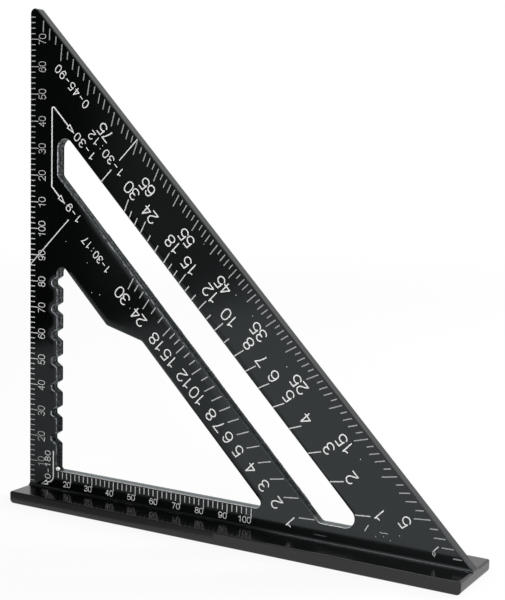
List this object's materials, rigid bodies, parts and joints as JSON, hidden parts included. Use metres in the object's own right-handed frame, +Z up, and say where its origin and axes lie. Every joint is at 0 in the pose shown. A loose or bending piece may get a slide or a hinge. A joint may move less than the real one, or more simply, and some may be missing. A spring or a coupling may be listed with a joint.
{
  "type": "rafter square",
  "caption": "Black aluminium rafter square: a triangular marked blade with a long slot and a notched window, standing on a flat fence.",
  "frame": {"origin": "centre of the fence's underside, below the middle of the blade's thickness", "axes": "+X along the fence from the pivot corner to the toe, +Y from the marked side to the plain side, +Z up from the fence along the ruler edge"},
  "size_m": [0.184, 0.0268, 0.1858],
  "materials": {
    "black_aluminium": "glossy black anodised",
    "white_print": "matte white ink"
  },
  "bodies": {
    "root": {"blade": "black_aluminium", "fence": "black_aluminium", "edge_scale_ticks": "white_print", "base_scale_ticks": "white_print", "degree_scale_ticks": "white_print", "common_rafter_ticks": "white_print", "hip_valley_ticks": "white_print", "cut_guide_line": "white_print", "cut_arrows": "white_print", "pivot_arrow": "white_print"}
  },
  "joints": []
}
